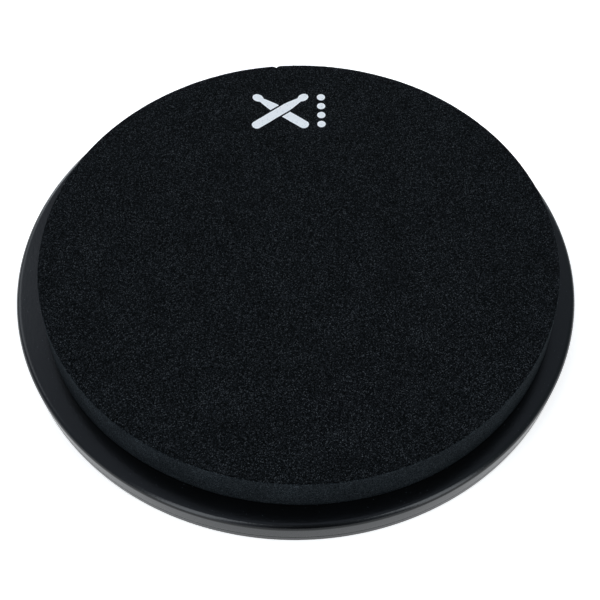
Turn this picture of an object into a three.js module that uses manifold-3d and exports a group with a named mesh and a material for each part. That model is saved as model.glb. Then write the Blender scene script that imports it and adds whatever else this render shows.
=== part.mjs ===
// A round drummer's practice pad: a thick foam disc bonded to a moulded plastic base, which
// is two shells screwed together around a fibreboard core, with a threaded insert for a stand
// and rubber feet. Millimetres, +Z up. The origin is on the axis of the base, on the surface
// that the feet stand on.

import * as THREE from 'three';
import { mergeVertices } from 'three/addons/utils/BufferGeometryUtils.js';
import Module from 'manifold-3d';

const wasm = await Module();
wasm.setup();

// ---------------------------------------------------------------------------- driving sizes

const FIT = 0.3; // gap between pieces that touch or nest
const BOND = 0.1; // gap on each side of the adhesive sheet
const SHANK_PLAY = 0.4; // radial gap around a screw in a clearance hole

const BASE_DIAMETER = 304.8; // 12 in over the rim
const RIM_ROUNDING = 2.7; // between the deck and the side
const DRAFT = 1.7; // the side draws in this much from the rim to the bottom edge
const EDGE_ROUNDING = 1; // along the cover's bottom edge
const DECK_WALL = 3;
const COVER_WALL = 3;
const SKIRT_WALL = 3;
const PARTING_HEIGHT = 4.6; // of the line between the shells, above the cover's underside
const LAP_HEIGHT = 2; // the cover's lip rises this far behind the skirt
const LIP_WALL = 1.2;

const BOARD_THICKNESS = 10;
const BOARD_PLAY = 1; // between the core board and the skirt

const FOAM_THICKNESS = 20.3;
const DECK_MARGIN = 12.6; // mean width of the bare deck around the foam
const FOAM_SHIFT = 1.7; // the hand-laid foam sits this far off the axis, along +X
const SHEET_THICKNESS = 0.3;
const SHEET_INSET = 2; // the adhesive sheet stops this far inside the foam's edge

const FOOT_COUNT = 6;
const FOOT_RADIUS = 11;
const FOOT_HEIGHT = 2.4;
const FOOT_SEAT = 1.2; // depth of the recess that holds a foot
const FOOT_ROUNDING = 0.6;
const FOOT_INSET = 27; // from the rim to the feet's centres

const COVER_SCREW_COUNT = 6;
const COVER_SCREW_INSET = 16.4; // from the rim to the screws' axes
const COVER_SCREW = { shank: 1.5, length: 10, head: 3.2, headHeight: 1.6, tip: 1 };
const HEAD_PLAY = 0.8; // radial room around a screw's head
const HEAD_SINK = 0.5; // heads lie this far above the cover's underside
const CUP_FLOOR = 1.8; // under the head, between cover and boss
const CUP_WALL = 1.5;
const BOSS_WALL = 2.7;
const BOSS_PLAY = 0.8; // between the board and the bosses that pass through it

const INSERT_FLANGE_RADIUS = 18;
const INSERT_FLANGE_THICKNESS = 2;
const INSERT_HUB_RADIUS = 6;
const THREAD_RADIUS = 3.4; // the drill size of an M8 thread
const HUB_STOP = 1.3; // the hub ends this far below the board's top
const HUB_PLAY = 0.4;
const OPENING_PLAY = 0.6; // around the flange, in the cover
const INSERT_SCREW_COUNT = 4;
const INSERT_SCREW = { shank: 1.5, length: 10, head: 2.9, headHeight: 1.4, tip: 1.5 };

const SLOT = { length: 0.55, width: 0.13, depth: 0.5 }; // of a drive recess, in head sizes

// ------------------------------------------------------------------- levels and radii, from them

const coverUnder = FOOT_HEIGHT + FIT - FOOT_SEAT;
const coverInside = coverUnder + COVER_WALL;
const boardUnder = coverInside + FIT;
const boardTop = boardUnder + BOARD_THICKNESS;
const deckUnder = boardTop + FIT;
const deckTop = deckUnder + DECK_WALL;
const sheetUnder = deckTop + BOND;
const foamUnder = sheetUnder + SHEET_THICKNESS + BOND;
const parting = coverUnder + PARTING_HEIGHT;

const rimRadius = BASE_DIAMETER / 2;
const bottomRadius = rimRadius - DRAFT;
const rimLevel = deckTop - RIM_ROUNDING; // where the rounding meets the side
const partingRadius = bottomRadius + (DRAFT * PARTING_HEIGHT) / (rimLevel - coverUnder);
const skirtInside = partingRadius - SKIRT_WALL;
const lipOutside = skirtInside + LIP_WALL;
const boardRadius = skirtInside - BOARD_PLAY;
const foamRadius = rimRadius - DECK_MARGIN;

const cupSeat = coverUnder + HEAD_SINK + COVER_SCREW.headHeight + FIT; // a head bears here
const cupTop = cupSeat + CUP_FLOOR;
const cupBore = COVER_SCREW.head + HEAD_PLAY;
const cupRadius = cupBore + CUP_WALL;
const bossRadius = COVER_SCREW.shank + FIT + BOSS_WALL;
const coverScrewLevel = coverUnder + HEAD_SINK;

const flangeTop = boardUnder - FIT;
const flangeUnder = flangeTop - INSERT_FLANGE_THICKNESS;
const hubTop = boardTop - HUB_STOP;
const openingRadius = INSERT_FLANGE_RADIUS + OPENING_PLAY;
const insertScrewCircle = (INSERT_HUB_RADIUS + INSERT_FLANGE_RADIUS) / 2;
const insertScrewLevel = flangeUnder + FIT;

const LARGE = 72; // facets around the large round pieces
const SMALL = 20; // around bosses, holes and feet
const FINE = 16; // around screws

// --------------------------------------------------------------------------------- shape tools

// A closed three.js geometry as a solid that can be joined and cut.
function solidOf(geometry) {
  geometry.deleteAttribute('normal');
  geometry.deleteAttribute('uv');
  const merged = mergeVertices(geometry);
  const corners = merged.getIndex().array;
  const kept = [];
  for (let i = 0; i < corners.length; i += 3) {
    const [a, b, c] = corners.slice(i, i + 3);
    if (a !== b && b !== c && c !== a) kept.push(a, b, c);
  }
  return new wasm.Manifold(new wasm.Mesh({
    numProp: 3,
    vertProperties: new Float32Array(merged.getAttribute('position').array),
    triVerts: new Uint32Array(kept),
  }));
}

// A solid of revolution about Z. The profile is [radius, level] points, anticlockwise, and it
// starts and ends on the axis or closes on itself.
function turned(profile, facets) {
  const points = profile.map(([radius, level]) => new THREE.Vector2(radius, level));
  return solidOf(new THREE.LatheGeometry(points, facets).rotateX(Math.PI / 2));
}

// A plain upright cylinder between two levels.
function cylinder(radius, low, high, facets = SMALL) {
  return turned([[0, low], [radius, low], [radius, high], [0, high]], facets);
}

// Points along a rounding about a centre, from one angle to another, in degrees.
function rounding(radius, level, size, from, to, steps) {
  return Array.from({ length: steps + 1 }, (_, i) => {
    const angle = THREE.MathUtils.degToRad(from + ((to - from) * i) / steps);
    return [radius + size * Math.cos(angle), level + size * Math.sin(angle)];
  });
}

// Evenly spaced places on a circle about the axis, the first at a given angle in degrees.
function places(count, radius, first) {
  return Array.from({ length: count }, (_, i) => {
    const angle = THREE.MathUtils.degToRad(first + (360 * i) / count);
    return [radius * Math.cos(angle), radius * Math.sin(angle)];
  });
}

// One copy of a solid at each place, all joined.
function copies(solid, spots) {
  return spots.map(([x, y]) => solid.translate([x, y, 0])).reduce((a, b) => a.add(b));
}

const feetPlaces = places(FOOT_COUNT, rimRadius - FOOT_INSET, 0);
const coverScrewPlaces = places(
  COVER_SCREW_COUNT,
  rimRadius - COVER_SCREW_INSET,
  180 / COVER_SCREW_COUNT,
);
const insertScrewPlaces = places(
  INSERT_SCREW_COUNT,
  insertScrewCircle,
  180 / INSERT_SCREW_COUNT,
);

// -------------------------------------------------------------------------------------- pieces

// The playing surface: a plain disc cut from foam sheet.
function foamDisc() {
  return cylinder(foamRadius, foamUnder, foamUnder + FOAM_THICKNESS, LARGE);
}

function adhesiveSheet() {
  return cylinder(foamRadius - SHEET_INSET, sheetUnder, sheetUnder + SHEET_THICKNESS, LARGE);
}

// The deck, its rounded rim and the skirt, with a rebate for the cover's lip, and screw bosses.
function topShell() {
  const rebate = lipOutside + FIT;
  const body = turned([
    [0, deckUnder],
    [skirtInside, deckUnder],
    [skirtInside, parting + LAP_HEIGHT + FIT],
    [rebate, parting + LAP_HEIGHT + FIT],
    [rebate, parting + FIT / 2],
    [partingRadius, parting + FIT / 2],
    ...rounding(rimRadius - RIM_ROUNDING, rimLevel, RIM_ROUNDING, 0, 90, 5),
    [0, deckTop],
  ], LARGE);
  const intoDeck = deckUnder + DECK_WALL / 2;
  const bosses = copies(cylinder(bossRadius, cupTop + FIT, intoDeck), coverScrewPlaces);
  const pilotTop = coverScrewLevel + COVER_SCREW.headHeight + COVER_SCREW.length + FIT;
  const pilot = cylinder(COVER_SCREW.shank + FIT, cupTop, pilotTop, FINE);
  return body.add(bosses).subtract(copies(pilot, coverScrewPlaces));
}

// The weighting board, with room for the bosses, the insert's hub and its screws.
function coreBoard() {
  const above = boardTop + 1;
  const below = boardUnder - 1;
  const bossRoom = Math.max(cupRadius, bossRadius) + BOSS_PLAY;
  const pilotTop = insertScrewLevel + INSERT_SCREW.length + FIT;
  return cylinder(boardRadius, boardUnder, boardTop, LARGE)
    .subtract(copies(cylinder(bossRoom, below, above), coverScrewPlaces))
    .subtract(cylinder(INSERT_HUB_RADIUS + HUB_PLAY, below, above))
    .subtract(copies(cylinder(INSERT_SCREW.shank + FIT, below, pilotTop, FINE), insertScrewPlaces));
}

// The bottom shell: a floor with a raised edge and lip, cups for the screws' heads, and
// recesses for the feet. The middle is open for the insert's flange.
function bottomCover() {
  const body = turned([
    [openingRadius, coverUnder],
    ...rounding(bottomRadius - EDGE_ROUNDING, coverUnder + EDGE_ROUNDING, EDGE_ROUNDING, -90, 0, 3),
    [partingRadius, parting - FIT / 2],
    [lipOutside, parting - FIT / 2],
    [lipOutside, parting + LAP_HEIGHT],
    [skirtInside, parting + LAP_HEIGHT],
    [skirtInside, coverInside],
    [openingRadius, coverInside],
    [openingRadius, coverUnder],
  ], LARGE);
  const below = coverUnder - 1;
  const cups = copies(cylinder(cupRadius, coverUnder + COVER_WALL / 2, cupTop), coverScrewPlaces);
  const cupBores = copies(cylinder(cupBore, below, cupSeat), coverScrewPlaces);
  const shankHole = cylinder(COVER_SCREW.shank + SHANK_PLAY, below, cupTop + 1, FINE);
  const footSeat = cylinder(FOOT_RADIUS + FIT, below, coverUnder + FOOT_SEAT);
  return body.add(cups)
    .subtract(cupBores)
    .subtract(copies(shankHole, coverScrewPlaces))
    .subtract(copies(footSeat, feetPlaces));
}

// The steel insert: a hub with the stand's thread, on a flange that is screwed to the board.
function threadInsert() {
  const body = turned([
    [THREAD_RADIUS, flangeUnder],
    [INSERT_FLANGE_RADIUS, flangeUnder],
    [INSERT_FLANGE_RADIUS, flangeTop],
    [INSERT_HUB_RADIUS, flangeTop],
    [INSERT_HUB_RADIUS, hubTop],
    [THREAD_RADIUS, hubTop],
    [THREAD_RADIUS, flangeUnder],
  ], 32);
  const { shank, head, headHeight } = INSERT_SCREW;
  const countersink = turned([
    [0, insertScrewLevel - 1],
    [head + FIT, insertScrewLevel - 1],
    [head + FIT, insertScrewLevel],
    [shank + FIT, insertScrewLevel + headHeight],
    [shank + FIT, flangeTop + 1],
    [0, flangeTop + 1],
  ], FINE);
  return body.subtract(copies(countersink, insertScrewPlaces));
}

// A cross recess to cut into a screw's head, from its face at level 0.
function driveRecess(head) {
  const arm = new THREE.BoxGeometry(
    2 * head * SLOT.length,
    2 * head * SLOT.width,
    2 * head * SLOT.depth,
  );
  return solidOf(arm.clone()).add(solidOf(arm.rotateZ(Math.PI / 2)));
}

// A screw standing on its head, from level 0: a pan head with a drive recess, and a pointed shank.
function panScrew({ shank, length, head, headHeight, tip }) {
  return turned([
    [0, 0],
    [0.75 * head, 0],
    [head, 0.45 * headHeight],
    [head, headHeight],
    [shank, headHeight],
    [shank, headHeight + length - tip],
    [0, headHeight + length],
  ], FINE).subtract(driveRecess(head));
}

// The same with a countersunk head; its length is measured over all.
function countersunkScrew({ shank, length, head, headHeight, tip }) {
  return turned([
    [0, 0],
    [head, 0],
    [shank, headHeight],
    [shank, length - tip],
    [0, length],
  ], FINE).subtract(driveRecess(head));
}

// A moulded rubber foot, with a rounded edge where it meets the surface.
function rubberFoot() {
  return turned([
    [0, 0],
    ...rounding(FOOT_RADIUS - FOOT_ROUNDING, FOOT_ROUNDING, FOOT_ROUNDING, -90, 0, 2),
    [FOOT_RADIUS, FOOT_HEIGHT],
    [0, FOOT_HEIGHT],
  ], SMALL);
}

// ----------------------------------------------------------------------------------- materials

const finish = (color, roughness, metalness = 0) => (
  new THREE.MeshStandardMaterial({ color, roughness, metalness })
);

const foamBlack = finish(0x14181b, 0.95);
const adhesive = finish(0x1a1a1a, 0.6);
const mouldedBlack = finish(0x1b1f22, 0.4);
const fibreboard = finish(0x8a6a45, 0.9);
const zincSteel = finish(0x9a9c9e, 0.4, 0.9);
const blackSteel = finish(0x26282a, 0.45, 0.8);
const rubberBlack = finish(0x17181a, 0.85);

// -------------------------------------------------------------------------------- the assembly

// A named mesh made from a solid.
function piece(name, solid, material) {
  const { vertProperties, triVerts } = solid.getMesh();
  const geometry = new THREE.BufferGeometry();
  geometry.setAttribute('position', new THREE.BufferAttribute(vertProperties, 3));
  geometry.setIndex(new THREE.BufferAttribute(triVerts, 1));
  geometry.computeVertexNormals();
  const mesh = new THREE.Mesh(geometry, material);
  mesh.name = name;
  return mesh;
}

// A group of numbered pieces of one shape, one at each place, standing at one level.
function set(name, solid, material, spots, level) {
  const group = new THREE.Group();
  spots.forEach(([x, y], i) => {
    const mesh = piece(`${name}_${i + 1}`, solid, material);
    mesh.position.set(x, y, level);
    group.add(mesh);
  });
  return group;
}

const playingSurface = new THREE.Group();
playingSurface.add(piece('foam_playing_surface', foamDisc(), foamBlack));
playingSurface.add(piece('foam_adhesive_sheet', adhesiveSheet(), adhesive));
playingSurface.position.x = FOAM_SHIFT;

const base = new THREE.Group();
base.add(piece('top_shell', topShell(), mouldedBlack));
base.add(piece('core_board', coreBoard(), fibreboard));
base.add(piece('bottom_cover', bottomCover(), mouldedBlack));
base.add(set('cover_screw', panScrew(COVER_SCREW), blackSteel, coverScrewPlaces, coverScrewLevel));
base.add(set('rubber_foot', rubberFoot(), rubberBlack, feetPlaces, 0));

const standMount = new THREE.Group();
standMount.add(piece('thread_insert', threadInsert(), zincSteel));
standMount.add(set(
  'insert_screw',
  countersunkScrew(INSERT_SCREW),
  zincSteel,
  insertScrewPlaces,
  insertScrewLevel,
));

const practicePad = new THREE.Group();
practicePad.add(playingSurface, base, standMount);

export default practicePad;
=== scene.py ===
"""The looks of a round drummer's practice pad: black foam on a moulded base, for Blender 4.5.

Sizes are in millimetres until a mesh, light or camera is made. The pieces take their places and
their main sizes from the frame.
"""

import math
import random

import bmesh
import bpy
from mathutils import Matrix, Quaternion, Vector, noise
from mathutils.bvhtree import BVHTree


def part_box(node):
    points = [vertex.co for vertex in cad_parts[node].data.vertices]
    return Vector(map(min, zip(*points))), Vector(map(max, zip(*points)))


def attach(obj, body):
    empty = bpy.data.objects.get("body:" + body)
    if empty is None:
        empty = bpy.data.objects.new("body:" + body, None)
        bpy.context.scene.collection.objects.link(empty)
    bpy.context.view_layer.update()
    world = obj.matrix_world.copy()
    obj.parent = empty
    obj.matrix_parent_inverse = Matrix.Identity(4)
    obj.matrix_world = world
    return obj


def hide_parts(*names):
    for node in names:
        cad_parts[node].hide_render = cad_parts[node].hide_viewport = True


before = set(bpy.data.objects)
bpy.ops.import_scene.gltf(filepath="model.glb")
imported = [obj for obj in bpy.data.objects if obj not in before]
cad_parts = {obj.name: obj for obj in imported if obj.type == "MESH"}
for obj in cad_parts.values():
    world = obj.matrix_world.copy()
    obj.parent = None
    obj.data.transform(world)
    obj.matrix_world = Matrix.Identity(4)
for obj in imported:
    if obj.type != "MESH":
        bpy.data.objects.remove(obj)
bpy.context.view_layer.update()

MM = 0.001
BODY = "root"
SHORTEST = 0.002  # no edge that a cut leaves is shorter than this
TINY = 1e-6  # a smaller length counts as none

# ------------------------------------------------------------------ sizes, from the frame


def span(node):
    """A CAD node's lowest and highest corners, in millimetres."""
    low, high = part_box(node)
    return low / MM, high / MM


def centres(boxes):
    """The (x, y) centres of CAD nodes' boxes, in millimetres."""
    return [((a.x + b.x) / 2 / MM, (a.y + b.y) / 2 / MM) for a, b in boxes]


shell_high = span("top_shell")[1]
cover_low, cover_high = span("bottom_cover")
foam_low, foam_high = span("foam_playing_surface")
sheet_high = span("foam_adhesive_sheet")[1]
insert_low, insert_high = span("thread_insert")
foot_low, foot_high = span("rubber_foot_1")
screw_centres = centres(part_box(f"cover_screw_{i}") for i in range(1, 7))
foot_centres = centres(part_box(f"rubber_foot_{i}") for i in range(1, 7))
insert_screw_centres = centres(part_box(f"insert_screw_{i}") for i in range(1, 5))

FIT = 0.3  # gap between pieces that touch in the frame
SEAM = 0.12  # the gap that shows between the two shells
RIM_ROUNDING = 2.7
DRAFT = 1.7
WALL = 3  # of the deck, the cover and the skirt
LIP_HEIGHT = 2
LIP_WALL = 1.2
BREAK = 0.15  # rounding of a moulded edge that looks sharp
COVER_EDGE = 0.45  # rounding of the cover's lower edge

rim_radius = shell_high.x
deck_level = shell_high.z
cover_level = cover_low.z
parting_level = cover_high.z - LIP_HEIGHT
rim_level = deck_level - RIM_ROUNDING
bottom_radius = rim_radius - DRAFT
foam_radius = (foam_high.x - foam_low.x) / 2
foam_centre_x = (foam_high.x + foam_low.x) / 2
foam_level = foam_high.z


def side_radius(level):
    """The side leans in from the rim to the bottom edge, so that it leaves its mould."""
    return bottom_radius + DRAFT * (level - cover_level) / (rim_level - cover_level)


# ------------------------------------------------------------------------- mesh tools


def mesh_object(name, points, faces, material):
    """A mesh from points in millimetres, linked to the scene."""
    mesh = bpy.data.meshes.new(name)
    mesh.from_pydata([Vector(p) * MM for p in points], [], faces)
    mesh.materials.append(material)
    obj = bpy.data.objects.new(name, mesh)
    bpy.context.scene.collection.objects.link(obj)
    return obj


def arc(radius, level, size, start, end, steps):
    """Profile points along a rounding about (radius, level), from start to end degrees."""
    turns = [math.radians(start + (end - start) * i / steps) for i in range(steps + 1)]
    return [(radius + size * math.cos(t), level + size * math.sin(t)) for t in turns]


def turned(profile, segments, centre=(0, 0), shape=None):
    """Points and faces of a turned solid. The profile's (radius, level) points run
    anticlockwise and start and end on the axis or, if they don't, close on themselves.
    shape(radius, level, angle) may give another radius at each point."""
    points, rings, faces = [], [], []
    for radius, level in profile:
        if radius < TINY:
            rings.append([len(points)] * segments)
            points.append((*centre, level))
            continue
        rings.append(list(range(len(points), len(points) + segments)))
        for i in range(segments):
            angle = math.tau * i / segments
            r = shape(radius, level, angle) if shape else radius
            points.append((centre[0] + r * math.cos(angle), centre[1] + r * math.sin(angle), level))
    meets_axis = profile[0][0] < TINY
    for a, b in zip(rings, rings[1:] if meets_axis else rings[1:] + rings[:1]):
        for i in range(segments):
            j = (i + 1) % segments
            corners = [a[i], a[j], b[j], b[i]]
            faces.append(list(dict.fromkeys(corners)))
    return points, faces


def combined(shapes):
    """Several (points, faces) as one."""
    points, faces = [], []
    for some_points, some_faces in shapes:
        start = len(points)
        points += some_points
        faces += [[start + i for i in face] for face in some_faces]
    return points, faces


def boolean(obj, shapes, operation):
    """Cuts separate closed shapes out of a piece, or joins them to it, and merges the points
    that the cut leaves almost on top of each other."""
    tool = mesh_object("tool", *combined(shapes), obj.data.materials[0])
    modifier = obj.modifiers.new(operation, "BOOLEAN")
    modifier.operation = operation
    modifier.solver = "EXACT"
    modifier.object = tool
    bpy.context.view_layer.update()
    evaluated = obj.evaluated_get(bpy.context.evaluated_depsgraph_get())
    old, obj.data = obj.data, bpy.data.meshes.new_from_object(evaluated)
    obj.modifiers.clear()
    bpy.data.meshes.remove(old)
    bpy.data.meshes.remove(tool.data)
    mesh = bmesh.new()
    mesh.from_mesh(obj.data)
    bmesh.ops.remove_doubles(mesh, verts=mesh.verts, dist=SHORTEST * MM)
    bmesh.ops.dissolve_degenerate(mesh, edges=mesh.edges, dist=SHORTEST * MM)
    mesh.to_mesh(obj.data)
    mesh.free()


def smooth(obj, sharp_from=35):
    """Smooth shading, with creases where faces meet at more than this many degrees."""
    obj.data.shade_smooth()
    obj.data.set_sharp_from_angle(angle=math.radians(sharp_from))
    return obj


def finished(obj, slot, *nodes):
    """Joins a piece to the frame, in place of its CAD nodes."""
    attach(obj, BODY)
    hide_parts(*nodes)
    return obj


# -------------------------------------------------------------------------- material tools

# Sockets of a Mix node by number, because their names repeat for each kind of value.
FACTOR = 0
NUMBER_A, NUMBER_B, NUMBER_OUT = 2, 3, 0
COLOUR_A, COLOUR_B, COLOUR_OUT = 6, 7, 2


def linear(colour):
    """A '#rrggbb' sRGB colour as the linear RGBA that a shader takes."""
    parts = [int(colour[i:i + 2], 16) / 255 for i in (1, 3, 5)]
    return (*(c / 12.92 if c <= 0.04045 else ((c + 0.055) / 1.055) ** 2.4 for c in parts), 1)


def add(tree, kind, inputs=None, **settings):
    """Adds a shader node. Inputs are values, or the outputs of other nodes to link from."""
    node = tree.nodes.new("ShaderNode" + kind)
    for name, value in settings.items():
        setattr(node, name, value)
    for name, value in (inputs or {}).items():
        if isinstance(value, bpy.types.NodeSocket):
            tree.links.new(value, node.inputs[name])
        else:
            node.inputs[name].default_value = value
    return node


def new_material(name):
    """An empty material, its node tree and the object's own coordinates."""
    material = bpy.data.materials.new(name)
    material.use_nodes = True
    tree = material.node_tree
    tree.nodes.clear()
    return material, tree, add(tree, "TexCoord").outputs["Object"]


def surface(tree, **inputs):
    """Ends a material in a Principled shader; input names have _ for spaces."""
    named = {name.replace("_", " "): value for name, value in inputs.items()}
    shader = add(tree, "BsdfPrincipled", named)
    add(tree, "OutputMaterial", {"Surface": shader.outputs["BSDF"]})
    return shader


def per_metre(size):
    """The scale of a texture whose features are this many millimetres across."""
    return 1 / (size * MM)


def ramp(tree, value, stops, interpolation="LINEAR"):
    """A colour ramp over a value: stops are (position, sRGB colour)."""
    node = add(tree, "ValToRGB", {"Fac": value})
    node.color_ramp.interpolation = interpolation
    elements = node.color_ramp.elements
    while len(elements) < len(stops):
        elements.new(0.5)
    for element, (position, colour) in zip(elements, stops):
        element.position = position
        element.color = linear(colour)
    return node.outputs["Color"]


# -------------------------------------------------------------------------------- materials


def foam_material(name, tones):
    """Black EVA foam. Skiving and knife cutting open its cells, so a cut face is dead matt and
    each cell shows its own tone: most are dark, and the palest few are painted glints, where a
    cell catches the light. tones are the stops of a ramp from the darkest cell to the palest."""
    material, tree, place = new_material(name)
    # The real cells are 0.2 to 0.5 mm across, drawn at 0.45 mm so that they show.
    cells = add(tree, "TexVoronoi", {"Vector": place, "Scale": per_metre(0.45)})
    grain = add(tree, "TexNoise", {"Vector": place, "Scale": per_metre(0.35), "Detail": 2.0})
    clouds = add(tree, "TexNoise", {"Vector": place, "Scale": per_metre(20), "Detail": 2.0})
    chance = add(tree, "SeparateColor", {"Color": cells.outputs["Color"]}).outputs["Red"]
    cell_tones_with_painted_glints = ramp(tree, chance, tones)
    # Painted shade: the colour darkens where the relief below sinks, at the cells' borders and in
    # the grain's hollows.
    painted_pit_shade = ramp(tree, cells.outputs["Distance"], [(0.1, "#FFFFFF"), (0.8, "#6E6E6E")])
    shade = ramp(tree, grain.outputs["Fac"], [(0.35, "#8C8C8C"), (0.65, "#FFFFFF")])
    tone = ramp(tree, clouds.outputs["Fac"], [(0.35, "#E6E6E6"), (0.65, "#FFFFFF")])
    level = add(tree, "SeparateXYZ", {"Vector": place}).outputs["Z"]
    # Painted light: the side is paler towards its top, where more light falls on it.
    painted_light_on_side_top = add(tree, "MapRange", {
        "Value": level, "From Min": deck_level * MM, "From Max": foam_level * MM, "To Min": 0.75})
    colour = cell_tones_with_painted_glints
    for layer in (painted_pit_shade, shade, tone, painted_light_on_side_top.outputs["Result"]):
        colour = add(tree, "Mix", {COLOUR_A: colour, COLOUR_B: layer, FACTOR: 1.0},
                     data_type="RGBA", blend_type="MULTIPLY").outputs[COLOUR_OUT]
    relief = add(tree, "Math", {0: grain.outputs["Fac"], 1: cells.outputs["Distance"]},
                 operation="SUBTRACT")
    bump = add(tree, "Bump", {"Height": relief.outputs[0], "Distance": 0.25 * MM, "Strength": 0.7})
    surface(tree, Base_Color=colour, Roughness=0.95, Specular_IOR_Level=0.04,
            Normal=bump.outputs["Normal"])
    return material


def moulded_material():
    """Black ABS from a lightly spark-eroded mould: a satin skin with a fine even grain, a trace
    of orange peel, faint flow waves in what it reflects, and the odd fleck of dust."""
    material, tree, place = new_material("satin_black_moulded_abs")
    # Spark-eroded grain is about 0.1 mm, drawn at 0.5 mm so that it shows.
    grain = add(tree, "TexNoise", {"Vector": place, "Scale": per_metre(0.5), "Detail": 2.0})
    waves = add(tree, "TexNoise", {"Vector": place, "Scale": per_metre(26), "Detail": 1.0})
    flecks = add(tree, "TexVoronoi", {"Vector": place, "Scale": per_metre(2.6)})
    dust = ramp(tree, flecks.outputs["Distance"], [(0.05, "#3A3F42"), (0.09, "#000000")])
    base = ramp(tree, waves.outputs["Fac"], [(0.3, "#040505"), (0.7, "#060708")])
    colour = add(tree, "Mix", {COLOUR_A: base, COLOUR_B: dust, FACTOR: 1.0},
                 data_type="RGBA", blend_type="ADD").outputs[COLOUR_OUT]
    rough = add(tree, "MapRange", {
        "Value": grain.outputs["Fac"], "From Min": 0.3, "From Max": 0.7,
        "To Min": 0.17, "To Max": 0.25})
    orange_peel = add(tree, "TexNoise", {"Vector": place, "Scale": per_metre(1.4), "Detail": 1.0})
    fine = add(tree, "Bump", {"Height": grain.outputs["Fac"], "Distance": 0.015 * MM})
    peel = add(tree, "Bump", {
        "Height": orange_peel.outputs["Fac"], "Distance": 0.028 * MM,
        "Normal": fine.outputs["Normal"]})
    skin = add(tree, "Bump", {
        "Height": waves.outputs["Fac"], "Distance": 0.12 * MM, "Normal": peel.outputs["Normal"]})
    surface(tree, Base_Color=colour, Roughness=rough.outputs["Result"], IOR=1.5,
            Normal=skin.outputs["Normal"])
    return material


def ink_material():
    """White screen-printing ink on foam: flat white, thinner where the cells lie open."""
    material, tree, place = new_material("white_screen_printed_ink")
    cells = add(tree, "TexNoise", {"Vector": place, "Scale": per_metre(0.8), "Detail": 2.0})
    colour = ramp(tree, cells.outputs["Fac"], [(0.25, "#D6D8DA"), (0.42, "#FDFCFA")])
    bump = add(tree, "Bump", {
        "Height": cells.outputs["Fac"], "Distance": 0.1 * MM, "Strength": 0.5})
    surface(tree, Base_Color=colour, Roughness=0.6, Normal=bump.outputs["Normal"])
    return material


def rubber_material():
    """Moulded rubber: soft black with a matt, slightly mottled bloom."""
    material, tree, place = new_material("black_moulded_rubber")
    bloom = add(tree, "TexNoise", {"Vector": place, "Scale": per_metre(4), "Detail": 3.0})
    # The mould's grain is about 0.05 mm, drawn at 0.4 mm so that it shows.
    grain = add(tree, "TexNoise", {"Vector": place, "Scale": per_metre(0.4), "Detail": 1.0})
    colour = ramp(tree, bloom.outputs["Fac"], [(0.3, "#121315"), (0.7, "#1E1F21")])
    bump = add(tree, "Bump", {"Height": grain.outputs["Fac"], "Distance": 0.03 * MM})
    surface(tree, Base_Color=colour, Roughness=0.78, Specular_IOR_Level=0.35,
            Normal=bump.outputs["Normal"])
    return material


def zinc_material():
    """Zinc-plated steel, pressed and tumbled: bright grey with a cloudy, faintly blue bloom."""
    material, tree, place = new_material("zinc_plated_steel")
    bloom = add(tree, "TexNoise", {"Vector": place, "Scale": per_metre(3), "Detail": 4.0})
    # Tumbling leaves dents of about 0.1 mm, drawn at 0.35 mm so that they show.
    scuffs = add(tree, "TexNoise", {"Vector": place, "Scale": per_metre(0.35), "Detail": 2.0})
    colour = ramp(tree, bloom.outputs["Fac"], [(0.3, "#A9AFB8"), (0.7, "#C9CCD0")])
    rough = add(tree, "MapRange", {"Value": bloom.outputs["Fac"], "To Min": 0.28, "To Max": 0.48})
    bump = add(tree, "Bump", {"Height": scuffs.outputs["Fac"], "Distance": 0.01 * MM})
    surface(tree, Base_Color=colour, Metallic=1.0, Roughness=rough.outputs["Result"],
            Normal=bump.outputs["Normal"])
    return material


def phosphate_material():
    """Black phosphated steel: a dark oily grey that still shines like metal on its edges."""
    material, tree, place = new_material("black_phosphated_steel")
    bloom = add(tree, "TexNoise", {"Vector": place, "Scale": per_metre(1.2), "Detail": 3.0})
    colour = ramp(tree, bloom.outputs["Fac"], [(0.3, "#26282B"), (0.7, "#3A3D40")])
    rough = add(tree, "MapRange", {"Value": bloom.outputs["Fac"], "To Min": 0.34, "To Max": 0.52})
    surface(tree, Base_Color=colour, Metallic=0.9, Roughness=rough.outputs["Result"])
    return material


def fibreboard_material():
    """Raw fibreboard: pressed wood fibre, mid brown, with short pale and dark hairs."""
    material, tree, place = new_material("raw_fibreboard")
    stretched = add(tree, "Mapping", {"Vector": place, "Scale": (1, 1, 3)})
    fibres = add(tree, "TexNoise", {
        "Vector": stretched.outputs["Vector"], "Scale": per_metre(0.8), "Detail": 4.0})
    colour = ramp(tree, fibres.outputs["Fac"],
                  [(0.3, "#5E442B"), (0.55, "#8A6A45"), (0.75, "#A98A62")])
    bump = add(tree, "Bump", {"Height": fibres.outputs["Fac"], "Distance": 0.1 * MM})
    surface(tree, Base_Color=colour, Roughness=0.9, Normal=bump.outputs["Normal"])
    return material


def adhesive_material():
    """Black double-sided film, with the faint ripple of its roller coating."""
    material, tree, place = new_material("black_adhesive_film")
    ripple = add(tree, "TexWave", {"Vector": place, "Scale": per_metre(60), "Distortion": 2.0})
    rough = add(tree, "MapRange", {"Value": ripple.outputs["Fac"], "To Min": 0.35, "To Max": 0.5})
    surface(tree, Base_Color=linear("#141414"), Roughness=rough.outputs["Result"])
    return material


# The table's own light, dimmed in front of the pad as a painted shadow. It grows from its front
# strength to its back strength between two places in Y, and straight into the lens it has a
# strength of its own.
FRONT_GLOW, BACK_GLOW, SEEN_GLOW = 0.2, 0.5, 0.66
GLOW_STARTS, GLOW_ENDS = -160, -80


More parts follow.
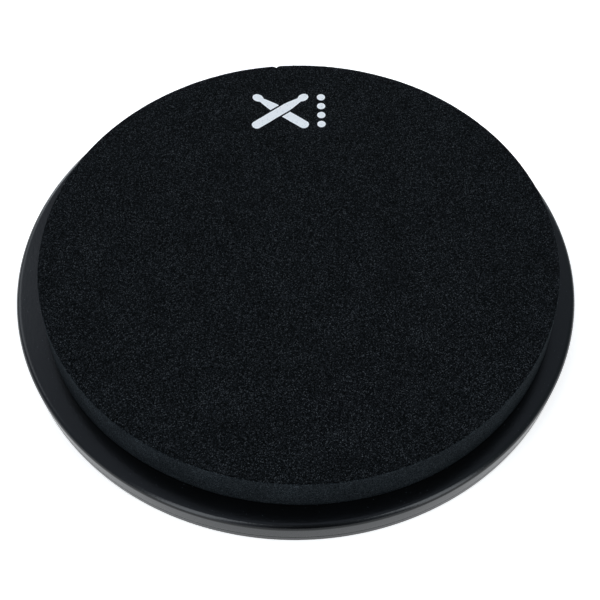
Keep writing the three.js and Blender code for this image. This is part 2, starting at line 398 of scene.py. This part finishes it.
def floor_material():
    """A lit white table: a matt white sheet on a light box, its light dimmed in front of the pad as
    a painted shadow. What is seen of it directly is lifted to white, with only a trace of shadow."""
    material, tree, place = new_material("white_light_table")
    front = add(tree, "SeparateXYZ", {"Vector": place}).outputs["Y"]
    glow_with_painted_shadow = add(tree, "MapRange", {
        "Value": front, "From Min": GLOW_STARTS * MM, "From Max": GLOW_ENDS * MM,
        "To Min": FRONT_GLOW, "To Max": BACK_GLOW})
    seen = add(tree, "LightPath").outputs["Is Camera Ray"]
    strength = add(tree, "Mix", {
        FACTOR: seen, NUMBER_A: glow_with_painted_shadow.outputs["Result"], NUMBER_B: SEEN_GLOW},
        data_type="FLOAT").outputs[NUMBER_OUT]
    tone = add(tree, "TexNoise", {"Vector": place, "Scale": 0.6, "Detail": 1.0})
    colour = ramp(tree, tone.outputs["Fac"], [(0.3, "#EEEAE6"), (0.7, "#F1EEEA")])
    surface(tree, Base_Color=colour, Roughness=0.9, Specular_IOR_Level=0.1,
            Emission_Color=linear("#FFFFFF"), Emission_Strength=strength)
    return material


foam_black = foam_material("black_eva_foam_skived", [
    (0.0, "#070B0D"), (0.4, "#1D2124"), (0.85, "#3A3E42"), (1.0, "#6E7275")])
# The side's copy has paler cells than the top: painted light, for the light that falls on the side.
foam_side_painted_paler = foam_material("black_eva_foam_knife_cut_painted_paler", [
    (0.0, "#2D3438"), (0.6, "#41494E"), (1.0, "#646B70")])
moulded_black = moulded_material()
ink_white = ink_material()
rubber_black = rubber_material()
zinc = zinc_material()
phosphate = phosphate_material()

# ------------------------------------------------------------------------------ the foam disc

FOAM_SEED = 12
FOAM_SPACING = 1.1  # between the points of the foam's face
EDGE_BREAK = 0.35  # how far the knife's edge is rounded over
FACE_DROP = 0.2  # from the foam's highest point to the mean level of its face
WALL_INSET = 0.12  # from the foam's widest point to the mean radius of its side
POINT_JITTER = 0.22  # how far a point may lie from its place on the web
LEVEL_JITTER = 0.035  # and from the face's level
SHEET_INSET = 2.0  # from the foam's side to the edge of its stuck-down middle
FOOT_GAP = 0.05  # under the foam's foot
SHEET_GAP = 0.03  # over the adhesive sheet
OUTLINE_FADE = 12  # a power: the higher, the nearer to the edge the swells fade out
# The face has slow waves of the skiving knife, then the lumps of the cells. Each row is a height,
# a width and a seed.
FACE_LUMPS = [(0.10, 45, 3.1), (0.07, 4.5, 8.7), (0.06, 1.9, 5.3)]
# The side has a slow bow and the knife's chatter. Each row is how far it goes out, a length
# around, a length up and a seed.
WALL_WAVES = [(0.10, 30, 30, 1.7), (0.05, 2.2, 5, 6.4)]
NICKS = [(95.0, 0.95, 1.7), (213, 1.1, 0.4), (318, 1.3, 0.5)]  # angle, width, depth
# Where the hand-cut outline swells or falls short: angle, half its spread, and how far at the
# top and at the foot.
SWELLS = [(248, 18, -0.6, -0.35), (221, 14, -0.4, 0.35), (300, 17, 0.4, 0.5)]


def foam_height(x, y):
    """How far the foam's face stands above its mean level."""
    return sum(height * noise.noise(Vector((x / width, y / width, seed)))
               for height, width, seed in FACE_LUMPS)


def foam_wall(angle, level):
    """How far the hand-cut wall stands out from a true cylinder."""
    around = angle * foam_radius
    down = foam_level - level
    out = sum(reach * noise.noise(Vector((around / length, level / rise, seed)))
              for reach, length, rise, seed in WALL_WAVES)
    for at, half, top, foot in SWELLS:
        turn = (math.degrees(angle) - at + 180) % 360 - 180
        share = down / (foam_level - deck_level)
        out += (top + (foot - top) * share) * math.exp(-(turn / half) ** 2)
    for at, width, depth in NICKS:
        along = math.radians((math.degrees(angle) - at + 180) % 360 - 180) * foam_radius
        out -= depth * math.exp(-(along ** 2 + down ** 2) / width ** 2)
    return out


def foam_disc():
    """A disc of foam on a web of rings: ring k has six times k points, so the points are
    evenly spaced all over the face."""
    jitter = random.Random(FOAM_SEED)
    face_radius = foam_radius - EDGE_BREAK
    ring_count = round(face_radius / FOAM_SPACING)
    mean_level = foam_level - FACE_DROP
    points, faces = [(0, 0, mean_level)], []
    starts = [0]
    for k in range(1, ring_count + 1):
        starts.append(len(points))
        inner = k < ring_count
        for i in range(6 * k):
            angle = math.tau * i / (6 * k)
            radius = face_radius * k / ring_count
            radius += foam_wall(angle, mean_level) * (k / ring_count) ** OUTLINE_FADE
            if inner:
                radius += jitter.uniform(-POINT_JITTER, POINT_JITTER)
                angle += jitter.uniform(-POINT_JITTER, POINT_JITTER) / radius
            x, y = radius * math.cos(angle), radius * math.sin(angle)
            level = mean_level + foam_height(x, y) + jitter.uniform(-LEVEL_JITTER, LEVEL_JITTER)
            points.append((x, y, level))
    for k in range(1, ring_count + 1):
        before, here = starts[k - 1], starts[k]
        for side in range(6):
            for i in range(k):
                a = here + (side * k + i) % (6 * k)
                b = here + (side * k + i + 1) % (6 * k)
                c = before + (side * (k - 1) + i) % max(6 * (k - 1), 1)
                faces.append([c, a, b])
                if i < k - 1:
                    d = before + (side * (k - 1) + i + 1) % (6 * (k - 1))
                    faces.append([c, b, d])
    face_count = len(faces)
    around = 6 * ring_count
    above = list(range(starts[-1], starts[-1] + around))
    foot = deck_level + FOOT_GAP
    top = mean_level - EDGE_BREAK
    rows = round((top - foot) / FOAM_SPACING)
    for row in range(rows + 1):
        level = top + (foot - top) * row / rows
        here = []
        for i in range(around):
            angle = math.tau * i / around
            radius = foam_radius - WALL_INSET + foam_wall(angle, level)
            here.append(len(points))
            points.append((radius * math.cos(angle), radius * math.sin(angle), level))
        faces += [[above[i], here[i], here[(i + 1) % around], above[(i + 1) % around]]
                  for i in range(around)]
        above = here
    wall_end = len(faces)
    underside = sheet_high.z + SHEET_GAP
    inside = []
    for i in range(around):
        angle = math.tau * i / around
        inside.append(len(points))
        radius = foam_radius - SHEET_INSET
        points.append((radius * math.cos(angle), radius * math.sin(angle), underside))
    faces += [[above[i], inside[i], inside[(i + 1) % around], above[(i + 1) % around]]
              for i in range(around)]
    points.append((0, 0, underside))
    faces += [[inside[i], len(points) - 1, inside[(i + 1) % around]] for i in range(around)]
    points = [(x + foam_centre_x, y, z) for x, y, z in points]
    foam = smooth(mesh_object("foam_disc", points, faces, foam_black), 180)
    foam.data.materials.append(foam_side_painted_paler)
    for face in foam.data.polygons[face_count:wall_end]:
        face.material_index = 1
    return foam


foam = finished(foam_disc(), "foam", "foam_playing_surface")

# --------------------------------------------------------------------------- the printed mark

INK_LIFT = 0.09  # the ink's face above the foam's
INK_SHARE = 0.7  # the film's thickness, as a share of that lift
INK_STEP = 0.55  # between the points of the printed shapes
MARK_CENTRE = (-8.0, 103.5)
STICK_LENGTH = 40.0
STICK_HALF = 2.9  # half the width of a stick's shaft
NECK_HALF = 1.6
TIP_HALF = 2.6  # half the width of its oval tip
SHOULDER_AT, NECK_AT, TIP_AT = 24.5, 33.6, 36.6  # along the stick, from the butt's end
STICK_LEAN = 38.0  # degrees from the way across
CROSSING_GAP = 1.1
LEAST_HALF = 0.02  # a stick's ends come to this and not to a point
ACROSS = [j / 4 - 1 for j in range(9)]  # the points across a stroke, from side to side
DOT_COUNT = 4
DOT_ROWS = 12
DOT_RADIUS = 2.4
DOT_COLUMN_X = 15.5
DOT_PITCH = 6.9


def stick_half_width(along):
    """Half the width of a drumstick: a round butt, a straight shaft, a tapered neck, an oval
    tip. along runs from 0 at the butt to the stick's length."""
    butt = STICK_HALF
    if along < butt:
        return math.sqrt(max(butt ** 2 - (butt - along) ** 2, 0))
    if along < SHOULDER_AT:
        return butt
    oval_half = STICK_LENGTH - TIP_AT
    oval = TIP_HALF * math.sqrt(max(1 - ((along - TIP_AT) / oval_half) ** 2, 0))
    share = min((along - SHOULDER_AT) / (NECK_AT - SHOULDER_AT), 1)
    taper = butt + (NECK_HALF - butt) * share ** 1.3
    return max(taper, oval) if along < TIP_AT else oval


def stick_outline(lean, first, last, slant_first=0, slant_last=0):
    """A strip of points along part of a stick, from one side to the other at each step. An end
    with a slant is cut at an angle: so far along for each step across."""
    steps = max(round((last - first) / INK_STEP), 2)
    axis = Vector((math.cos(math.radians(lean)), math.sin(math.radians(lean))))
    across = Vector((-axis.y, axis.x))
    rows = []
    for i in range(steps + 1):
        along = first + (last - first) * i / steps
        half = max(stick_half_width(along), LEAST_HALF)
        middle = Vector(MARK_CENTRE) + axis * (along - STICK_LENGTH / 2)
        slant = slant_first + (slant_last - slant_first) * i / steps
        rows.append([middle + (across + axis * slant) * half * side for side in ACROSS])
    return rows


def printed_strip(rows, cast):
    """A thin closed film of ink over rows of (x, y) points, lying on the foam."""
    width, count = len(rows[0]), len(rows) * len(rows[0])
    flat = [p for row in rows for p in row]
    tops = [(p.x, p.y, cast(p) + INK_LIFT) for p in flat]
    points = tops + [(x, y, z - INK_LIFT * INK_SHARE) for x, y, z in tops]
    faces = []
    for i in range(len(rows) - 1):
        for j in range(width - 1):
            a, b = i * width + j, (i + 1) * width + j
            faces.append([a, b, b + 1, a + 1])
            faces.append([a + count, a + 1 + count, b + 1 + count, b + count])
    ends = ([i * width for i in range(len(rows))]
            + [count - width + j for j in range(1, width)]
            + [i * width + width - 1 for i in range(len(rows) - 2, -1, -1)]
            + [j for j in range(width - 2, 0, -1)])
    faces += [[a, a + count, b + count, b] for a, b in zip(ends, ends[1:] + ends[:1])]
    return points, faces


def printed_mark():
    """A plain pictogram: two crossed drumsticks, and a column of dots for a count of four."""
    mesh = bmesh.new()
    mesh.from_mesh(foam.data)
    tree = BVHTree.FromBMesh(mesh)
    mesh.free()

    def cast(p):
        hit = tree.ray_cast(Vector((p.x, p.y, foam_level + 5)) * MM, Vector((0, 0, -1)))
        return hit[0].z / MM

    half = STICK_LENGTH / 2
    lean = STICK_LEAN
    gap = (STICK_HALF + CROSSING_GAP) / math.sin(math.radians(2 * lean))
    slant = 1 / math.tan(math.radians(2 * lean))
    strips = [
        stick_outline(lean, 0, STICK_LENGTH),
        stick_outline(180 - lean, 0, half - gap, 0, slant),
        stick_outline(180 - lean, half + gap, STICK_LENGTH, slant, 0),
    ]
    for i in range(DOT_COUNT):
        middle = Vector((DOT_COLUMN_X, MARK_CENTRE[1] + DOT_PITCH * (i - (DOT_COUNT - 1) / 2)))
        rows = []
        for row in range(DOT_ROWS + 1):
            turn = math.pi * (0.02 + 0.96 * row / DOT_ROWS)  # just short of the dot's poles
            offset, reach = -DOT_RADIUS * math.cos(turn), DOT_RADIUS * math.sin(turn)
            rows.append([middle + Vector((offset, reach * side)) for side in ACROSS])
        strips.append(rows)
    shapes = combined([printed_strip(rows, cast) for rows in strips])
    return smooth(mesh_object("printed_mark", *shapes, ink_white), 50)


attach(printed_mark(), BODY)

# ---------------------------------------------------------------------------------- the base

ROUND = 360  # facets around the shells
# The shells' profiles have rings near each rounding, which keep the shading of the flats even.
SCREW_LEVEL = cover_level + 0.5  # the heads lie this deep in their cups
SHANK = 10.0  # a screw's length, without a pan head
PAN_HEIGHT = 1.6
THREAD_ROOT = 1.1
THREAD_CREST = 1.5
THREAD_PITCH = 1.2
POINT = 1.6  # length of a screw's point
RECESS_DEPTH = 1.1
HEAD_ROOM = 2.4  # from the cover's underside to a cup's floor
CUP_FLOOR = 1.8
CUP_BORE = 4.0
CUP_RADIUS = 5.5
BOSS_RADIUS = 4.5
BOSS_BORE = 1.8
BOSS_ROOT = 0.5  # how far a boss runs into the deck
SCREW_HOLE = 1.9  # radius of the hole in a cup that the shank passes through
FOOT_EDGE = 0.6  # rounding of a foot's sole
GRIP_RINGS = (4.0, 7.2)  # radii of the grooves in a foot's sole
cup_top = cover_level + HEAD_ROOM + CUP_FLOOR

skirt_inside = side_radius(parting_level) - WALL
lip_outside = skirt_inside + LIP_WALL


def top_shell():
    """The deck with its rounded rim and skirt, and the six screw bosses under it."""
    under = deck_level - WALL
    corner = 1  # rounding inside, between the deck and the skirt
    low = parting_level + SEAM / 2
    rebate = lip_outside + FIT
    rebate_top = parting_level + LIP_HEIGHT + FIT
    edge = side_radius(low)
    profile = [
        (0, under),
        (skirt_inside - corner, under),
        *arc(skirt_inside - corner, under - corner, corner, 90, 0, 4)[1:],
        (skirt_inside, rebate_top),
        (rebate, rebate_top),
        (rebate, low),
        (edge - BREAK, low),
        *arc(edge - BREAK, low + BREAK, BREAK, -90, 0, 3)[1:],
        (side_radius(low + 1), low + 1),
        (side_radius(rim_level - 0.6), rim_level - 0.6),
        *arc(rim_radius - RIM_ROUNDING, rim_level, RIM_ROUNDING, 0, 90, 16),
        (rim_radius - RIM_ROUNDING - 0.4, deck_level),
        (foam_radius + 4, deck_level),
        (foam_radius - 4, deck_level),
        (90, deck_level),
        (0, deck_level),
    ]
    shell = mesh_object("moulded_top_shell", *turned(profile, ROUND), moulded_black)
    tube = [(BOSS_BORE, cup_top + FIT), (BOSS_RADIUS, cup_top + FIT),
            (BOSS_RADIUS, under + BOSS_ROOT), (BOSS_BORE, under + BOSS_ROOT)]
    boolean(shell, [turned(tube, 48, spot) for spot in screw_centres], "UNION")
    return smooth(shell)


def bottom_cover():
    """The lower shell: a floor with recesses for the feet, cups for the screws' heads and the
    opening for the insert's flange."""
    high = parting_level - SEAM / 2
    edge = side_radius(high)
    opening = insert_high.x + 0.6
    chamfer = 0.25
    profile = [
        (opening + chamfer, cover_level),
        (70, cover_level),
        (bottom_radius - 1.4, cover_level),
        *arc(bottom_radius - COVER_EDGE, cover_level + COVER_EDGE, COVER_EDGE, -90, 0, 6),
        (side_radius(high - 0.6), high - 0.6),
        *arc(edge - BREAK, high - BREAK, BREAK, 0, 90, 3),
        (lip_outside, high),
        (lip_outside, cover_high.z),
        (skirt_inside, cover_high.z),
        (skirt_inside, cover_level + WALL),
        (opening, cover_level + WALL),
        (opening, cover_level + chamfer),
    ]
    cover = mesh_object("moulded_bottom_cover", *turned(profile, ROUND), moulded_black)
    cup = [(0, cover_level + 1), (CUP_RADIUS, cover_level + 1), (CUP_RADIUS, cup_top), (0, cup_top)]
    boolean(cover, [turned(cup, 48, spot) for spot in screw_centres], "UNION")
    bore = [
        (0, cover_level - 1),
        (CUP_BORE + chamfer + 1, cover_level - 1),
        (CUP_BORE, cover_level + chamfer),
        (CUP_BORE, cover_level + HEAD_ROOM),
        (SCREW_HOLE, cover_level + HEAD_ROOM),
        (SCREW_HOLE, cup_top + 1),
        (0, cup_top + 1),
    ]
    seat_radius = (foot_high.x - foot_low.x) / 2 + FIT
    seat = [
        (0, cover_level - 1),
        (seat_radius + chamfer + 1, cover_level - 1),
        (seat_radius, cover_level + chamfer),
        (seat_radius, foot_high.z + 0.1),
        (0, foot_high.z + 0.1),
    ]
    boolean(cover, [turned(bore, 64, spot) for spot in screw_centres]
            + [turned(seat, 96, spot) for spot in foot_centres], "DIFFERENCE")
    return smooth(cover)


finished(top_shell(), "moulded_shell", "top_shell")
finished(bottom_cover(), "moulded_shell", "bottom_cover")

# ----------------------------------------------------------------------- feet, insert, screws


def rubber_foot(index, centre):
    """A turned rubber foot with a rounded sole and two grip rings."""
    radius = (foot_high.x - foot_low.x) / 2
    groove = 0.3
    profile = [(0, 0)]
    for ring in GRIP_RINGS:
        profile += [(ring - 0.5, 0), (ring - 0.25, groove), (ring + 0.25, groove), (ring + 0.5, 0)]
    profile += arc(radius - FOOT_EDGE, FOOT_EDGE, FOOT_EDGE, -90, 0, 6)
    profile += [(radius, foot_high.z - 0.1), (radius - 0.1, foot_high.z), (0, foot_high.z)]
    name = f"rubber_foot_disc_{index}"
    foot = mesh_object(name, *turned(profile, 96, centre), rubber_black)
    return finished(smooth(foot), "foot_rubber", f"rubber_foot_{index}")


def thread(root, crest, pitch, low, high):
    """The shape of a screw thread between two levels, which runs out at both ends."""

    def shape(radius, level, angle):
        if not low < level < high or abs(radius - root) > TINY:
            return radius
        turn = (level / pitch - angle / math.tau) % 1
        ends = min((level - low) / pitch, (high - level) / pitch, 1)
        return root + (crest - root) * ends * (1 - abs(2 * turn - 1))

    return shape


def levels(low, high, step):
    """Evenly spaced levels from low to high."""
    count = round((high - low) / step)
    return [low + (high - low) * i / count for i in range(count + 1)]


def cross_recess(centre, level, half, depth):
    """The cross that a screwdriver fits, tapered towards its bottom, to cut from a head. half is
    its reach at the mouth, and its arms' sizes are shares of that."""
    shapes = []
    for across in (0, 1):
        points = []
        for reach, wide, height in ((half, half * 0.26, -0.2), (half * 0.45, half * 0.16, depth)):
            for u, v in ((-reach, -wide), (reach, -wide), (reach, wide), (-reach, wide)):
                x, y = (-v, u) if across else (u, v)
                points.append((centre[0] + x, centre[1] + y, level + height))
        faces = [[3, 2, 1, 0], [4, 5, 6, 7], [0, 1, 5, 4], [1, 2, 6, 5], [2, 3, 7, 6], [3, 0, 4, 7]]
        shapes.append((points, faces))
    return shapes


def screw(name, centre, level, head_profile, length, material, recess_half):
    """A screw that stands on its head: the head's profile, then a threaded, pointed shank."""
    head_top = head_profile[-1][1]
    shank_end = level + length - POINT
    shank = [(THREAD_ROOT, z) for z in levels(head_top, shank_end, THREAD_PITCH / 8)]
    profile = head_profile + shank + [(0, level + length)]
    shape = thread(THREAD_ROOT, THREAD_CREST, THREAD_PITCH, head_top + 0.3, shank_end)
    obj = mesh_object(name, *turned(profile, 40, centre, shape), material)
    for part in cross_recess(centre, level, recess_half, RECESS_DEPTH):
        boolean(obj, [part], "DIFFERENCE")
    return smooth(obj, 40)


def pan_screw(index, centre):
    """A black pan-head screw for the shells."""
    level = SCREW_LEVEL
    top = level + PAN_HEIGHT
    head = [(0, level), (1.9, level), *arc(2.2, level + 1.0, 1.0, -80, 0, 7), (3.2, level + 1.5),
            (3.1, top), (1.3, top)]
    made = screw(f"pan_screw_{index}", centre, level, head, PAN_HEIGHT + SHANK, phosphate, 1.9)
    return finished(made, "black_steel", f"cover_screw_{index}")


def flat_screw(index, centre):
    """A bright countersunk wood screw for the insert's flange."""
    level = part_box(f"insert_screw_{index}")[0].z / MM
    head = [(0, level), (2.8, level), (2.9, level + 0.12), (1.4, level + 1.45)]
    made = screw(f"flat_screw_{index}", centre, level, head, SHANK, zinc, 1.7)
    return finished(made, "zinc_steel", f"insert_screw_{index}")


def stand_insert():
    """A pressed steel flange and hub with the thread that takes a stand's 8 mm tip."""
    low, high = insert_low.z, insert_high.z
    flange, flange_top = insert_high.x, low + 2  # a flange 2 mm thick
    hub, bore, groove, pitch = 6.0, 3.4, 4.05, 1.25
    profile = [(bore, z) for z in reversed(levels(low + 0.6, high - 0.6, pitch / 10))]
    profile += [
        (bore + 0.6, low),
        (flange - 0.3, low),
        *arc(flange - 0.3, low + 0.3, 0.3, -90, 0, 4)[1:],
        *arc(flange - 0.3, flange_top - 0.3, 0.3, 0, 90, 4),
        (hub + 0.5, flange_top),
        (hub, flange_top + 0.5),
        (hub, high - 0.3),
        (hub - 0.3, high),
        (bore + 0.6, high),
    ]
    shape = thread(bore, groove, pitch, low + 0.6, high - 0.6)
    insert = mesh_object("stand_thread_insert", *turned(profile, 120, (0, 0), shape), zinc)
    seat = [(0, low - 1), (4.0, low - 1), (3.2, low), (3.2, low + 0.3), (1.8, low + 1.7),
            (1.8, low + 3), (0, low + 3)]
    boolean(insert, [turned(seat, 48, spot) for spot in insert_screw_centres], "DIFFERENCE")
    return smooth(insert, 25)


for number, centre in enumerate(foot_centres, 1):
    rubber_foot(number, centre)
for number, centre in enumerate(screw_centres, 1):
    pan_screw(number, centre)
for number, centre in enumerate(insert_screw_centres, 1):
    flat_screw(number, centre)
finished(stand_insert(), "zinc_steel", "thread_insert")

# CAD nodes that keep their shape, inside the base, get their own finish.
for node, material in (("core_board", fibreboard_material()),
                       ("foam_adhesive_sheet", adhesive_material())):
    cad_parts[node].data.materials.clear()
    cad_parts[node].data.materials.append(material)

# ------------------------------------------------------------------------- table, light, camera

CAMERA_DISTANCE = 842
CAMERA_ELEVATION = 54.59
CAMERA_LENS = 90.69  # on the default 36 mm sensor
CAMERA_AIM = (0.0028, -0.0036)  # to the right and up, per unit ahead
CAMERA_ROLL = -0.218  # degrees
# Softboxes: name, azimuth and elevation in degrees, distance, width, height and radiance.
SOFTBOXES = [
    ("front_left", -34, 32, 1300, 455, 1460, 2.6),
    ("front_right", 46, 30, 1300, 455, 1380, 2.6),
    ("back_left", -130, 38, 1700, 1000, 1000, 1.2),
    ("backdrop", 180, 17, 2600, 3800, 1130, 4.0),
]
# The black flag behind the camera: its turn to the right, half the width where it is darkest and
# where it ends, in radians, and how much of the room's light it gives back.
FLAG_TURN = 0.08
FLAG_DARK = 0.12
FLAG_END = 0.36
FLAG_TONE = 0.03


def table():
    """A wide pale table under the pad."""
    half = 4000
    corners = [(-half, -half, 0), (half, -half, 0), (half, half, 0), (-half, half, 0)]
    top = mesh_object("table_top", corners, [[0, 1, 2, 3]], floor_material())


def softbox(name, azimuth, elevation, distance, width, height, radiance):
    """A rectangular light that faces the pad. Azimuth 0 is the camera's side; sizes in mm."""
    a, e = math.radians(azimuth), math.radians(elevation)
    back = Vector((math.sin(a) * math.cos(e), -math.cos(a) * math.cos(e), math.sin(e)))
    light = bpy.data.lights.new(name, "AREA")
    light.shape = "RECTANGLE"
    light.size, light.size_y = width * MM, height * MM
    light.energy = radiance * math.pi * light.size * light.size_y
    light.color = linear("#F2F9FF")[:3]
    obj = bpy.data.objects.new(name, light)
    obj.location = back * distance * MM
    obj.rotation_mode = "QUATERNION"
    obj.rotation_quaternion = (-back).to_track_quat("-Z", "Y")
    bpy.context.scene.collection.objects.link(obj)


def studio():
    """Softboxes to the front left and front right, a large one at the back left, a wide bright
    backdrop, and a dim room with a black flag behind the camera, so that the rim's rounding
    shows a dark line."""
    for row in SOFTBOXES:
        softbox(*row)
    world = bpy.data.worlds.new("room")
    bpy.context.scene.world = world
    world.use_nodes = True
    tree = world.node_tree
    tree.nodes.clear()
    way = add(tree, "SeparateXYZ", {"Vector": add(tree, "TexCoord").outputs["Generated"]}).outputs
    ahead = add(tree, "Math", {0: way["Y"], 1: -1.0}, operation="MULTIPLY").outputs[0]
    turn = add(tree, "Math", {0: way["X"], 1: ahead}, operation="ARCTAN2").outputs[0]
    aside = add(tree, "Math", {0: turn, 1: FLAG_TURN}, operation="SUBTRACT").outputs[0]
    apart = add(tree, "Math", {0: aside}, operation="ABSOLUTE").outputs[0]
    flag = add(tree, "MapRange", {
        "Value": apart, "From Min": FLAG_DARK, "From Max": FLAG_END, "To Min": FLAG_TONE},
        interpolation_type="SMOOTHSTEP").outputs["Result"]
    # The room is a little paler on the left.
    grey = ramp(tree, way["X"], [(0.0, "#949DAC"), (0.5, "#78858E")])
    dim = add(tree, "Mix", {COLOUR_A: grey, COLOUR_B: flag, FACTOR: 1.0},
              data_type="RGBA", blend_type="MULTIPLY").outputs[COLOUR_OUT]
    pale = add(tree, "Background", {"Color": linear("#FFFFFF"), "Strength": 1.0})
    room = add(tree, "Background", {"Color": dim, "Strength": 1.0})
    seen = add(tree, "LightPath").outputs["Is Camera Ray"]
    mixed = add(tree, "MixShader", {0: seen, 1: room.outputs[0], 2: pale.outputs[0]})
    add(tree, "OutputWorld", {"Surface": mixed.outputs[0]})
    bpy.context.scene.view_settings.view_transform = "Standard"


def camera():
    """A long lens, well above the pad, aimed a touch off its centre."""
    e = math.radians(CAMERA_ELEVATION)
    out = Vector((0, -math.cos(e), math.sin(e)))
    right = Vector((1, 0, 0))
    up = right.cross(-out)
    aim = -out + right * CAMERA_AIM[0] + up * CAMERA_AIM[1]
    data = bpy.data.cameras.new("camera")
    data.lens = CAMERA_LENS
    obj = bpy.data.objects.new("camera", data)
    obj.location = (out * CAMERA_DISTANCE + Vector((0, 0, cover_level))) * MM
    obj.rotation_mode = "QUATERNION"
    roll = Quaternion((0, 0, 1), math.radians(CAMERA_ROLL))
    obj.rotation_quaternion = aim.to_track_quat("-Z", "Y") @ roll
    bpy.context.scene.collection.objects.link(obj)
    bpy.context.scene.camera = obj


table()
studio()
camera()
